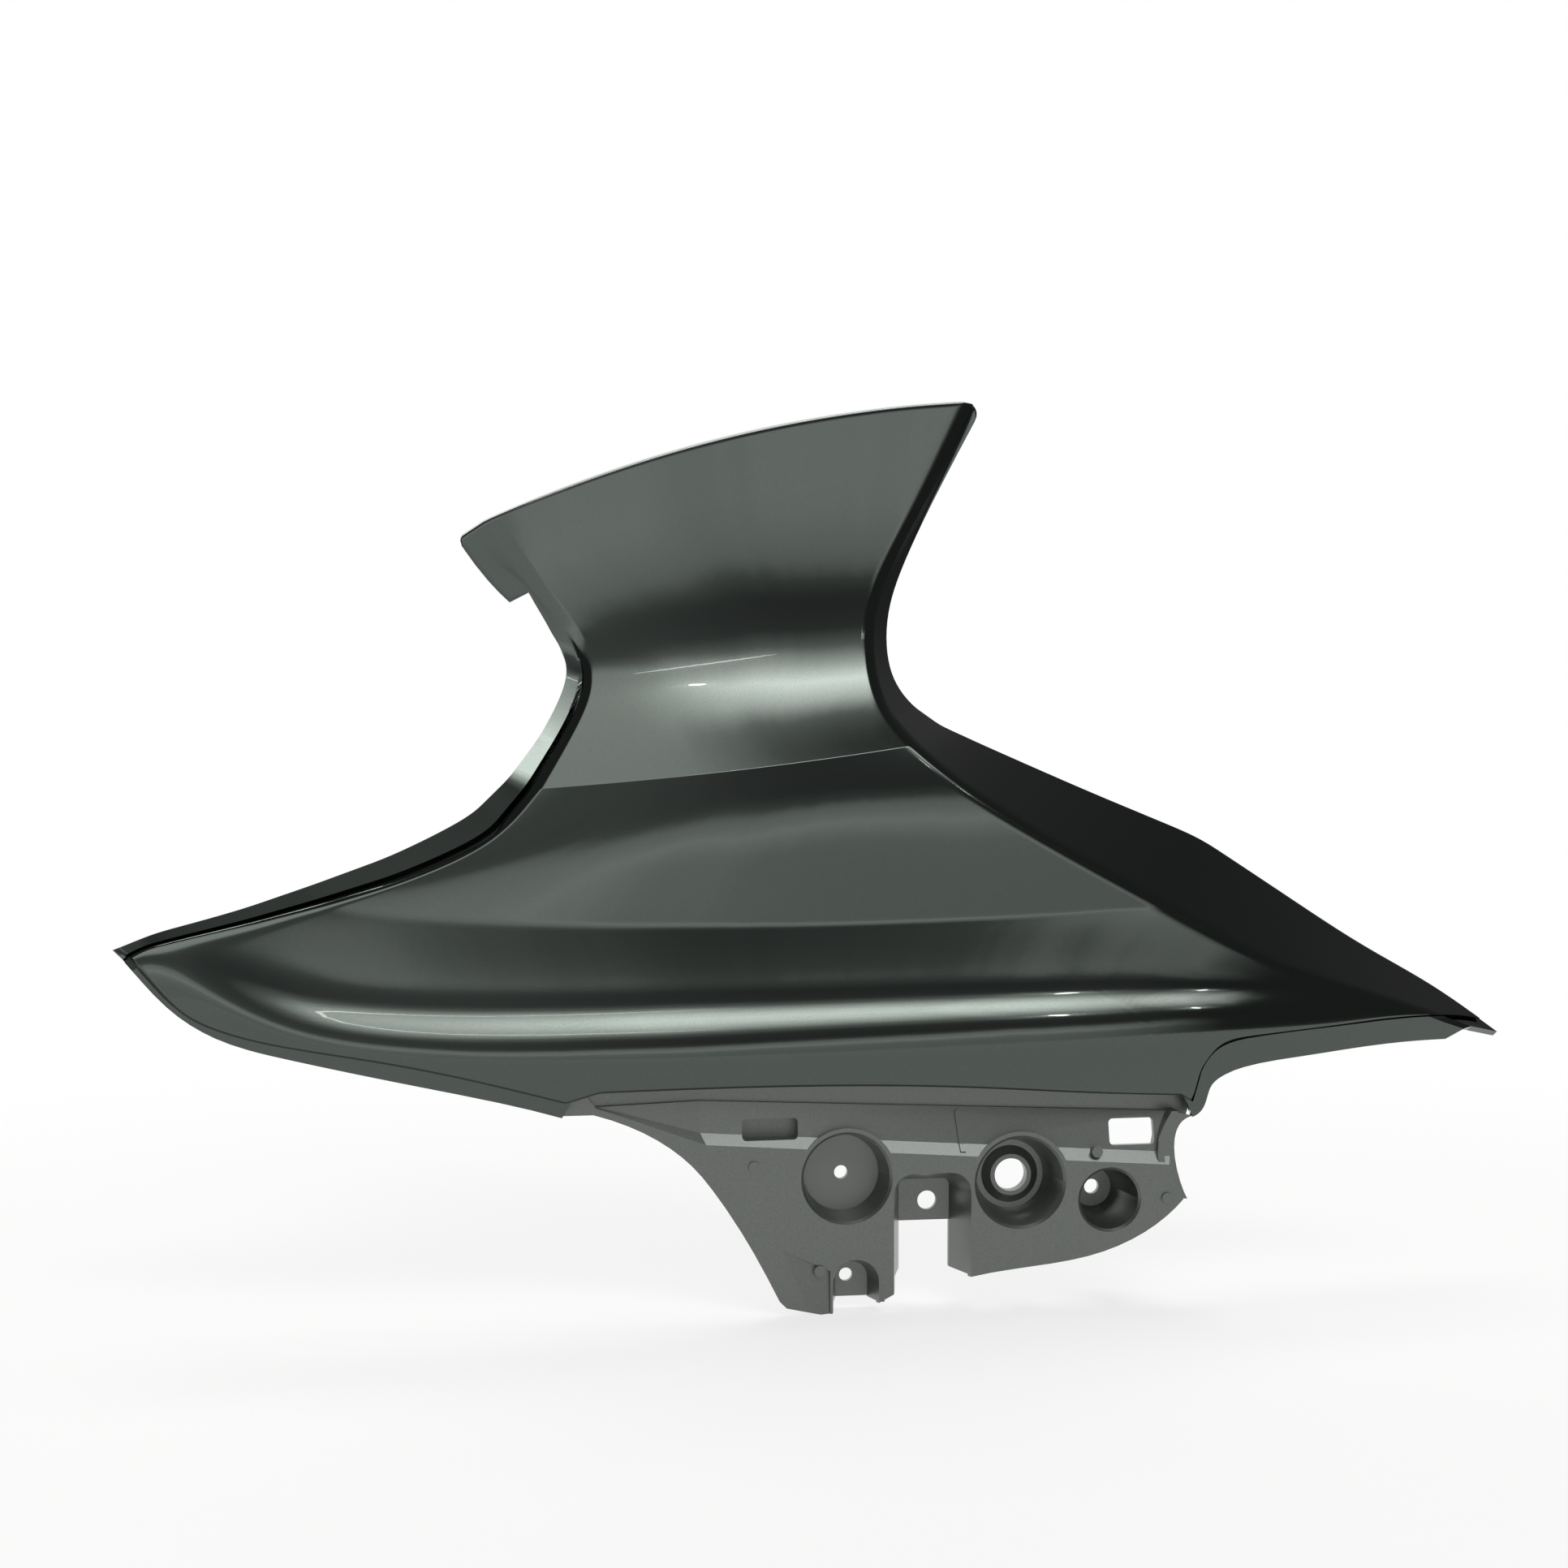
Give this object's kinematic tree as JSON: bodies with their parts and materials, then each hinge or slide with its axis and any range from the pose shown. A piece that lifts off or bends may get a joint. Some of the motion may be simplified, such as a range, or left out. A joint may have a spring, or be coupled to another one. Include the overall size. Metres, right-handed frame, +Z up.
{
  "type": "headlight fairing",
  "caption": "Moulded motorbike headlight fairing panel with a flared upper blade, a long pointed lower wing, stepped edge lips and a fixing flange with screw wells, tabs and slots.",
  "frame": {"origin": "centre of the screw hole in the first well, at the front of that well's floor", "axes": "+X along the panel from its left tip to its right tip, +Z up to the blade, the painted outside towards -Y"},
  "size_m": [0.6308, 0.0594, 0.4058],
  "materials": {
    "painted_shell": "clear-coated metallic dark grey-green paint on a moulded plastic panel"
  },
  "bodies": {
    "root": {"fairing_panel": "painted_shell"}
  },
  "joints": []
}
